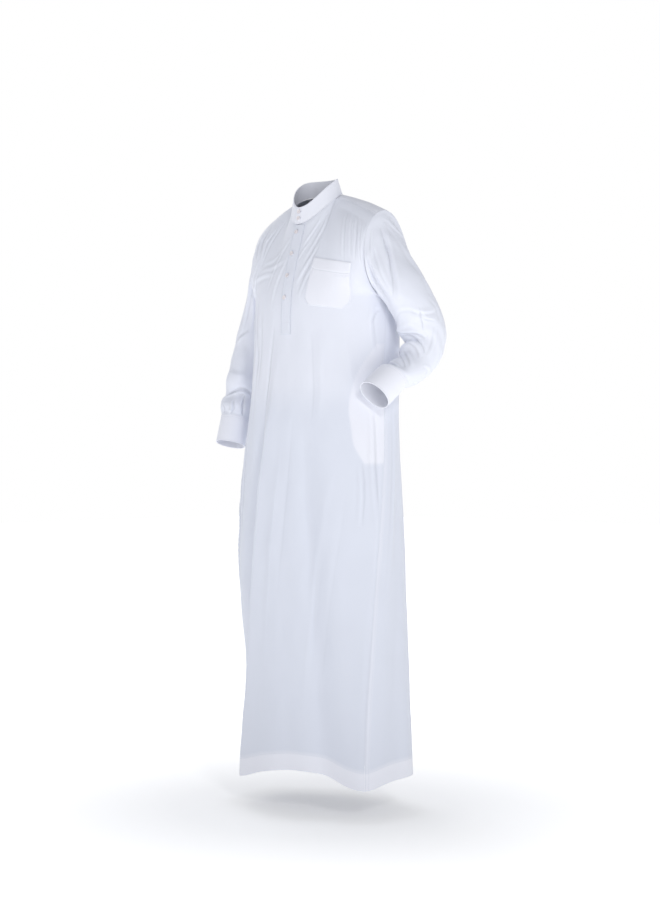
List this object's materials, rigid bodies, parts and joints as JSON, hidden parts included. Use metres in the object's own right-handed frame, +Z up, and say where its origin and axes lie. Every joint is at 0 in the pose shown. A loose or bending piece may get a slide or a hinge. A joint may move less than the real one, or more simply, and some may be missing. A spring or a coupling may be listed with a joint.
{
  "type": "thobe, a long white shirt robe",
  "caption": "Ankle-length white shirt robe as worn: stand collar, half placket, chest pocket, cuffed sleeves, one arm bent, neck, cuffs and hem open.",
  "frame": {"origin": "middle of the neck opening, level with the points where the collar meets the shoulders, where the wearer carries the robe", "axes": "+Z up, -Y the way the front faces, +X the wearer's left"},
  "size_m": [0.6648, 0.3502, 1.5432],
  "materials": {
    "front": "matte",
    "back": "matte",
    "yoke": "matte",
    "sleeve_left": "matte",
    "sleeve_right": "matte",
    "cuff_left": "matte",
    "cuff_right": "matte",
    "collar": "matte",
    "placket": "matte",
    "chest_pocket": "matte",
    "side_pocket_bag": "matte",
    "button_1": "pearl",
    "button_2": "pearl",
    "button_3": "pearl",
    "button_4": "pearl",
    "button_5": "pearl",
    "button_6": "pearl"
  },
  "bodies": {
    "root": {"front": "front", "back": "back", "yoke": "yoke", "sleeve_left": "sleeve_left", "sleeve_right": "sleeve_right", "cuff_left": "cuff_left", "cuff_right": "cuff_right", "collar": "collar", "placket": "placket", "chest_pocket": "chest_pocket", "side_pocket_bag": "side_pocket_bag", "button_1": "button_1", "button_2": "button_2", "button_3": "button_3", "button_4": "button_4", "button_5": "button_5", "button_6": "button_6"}
  },
  "joints": []
}
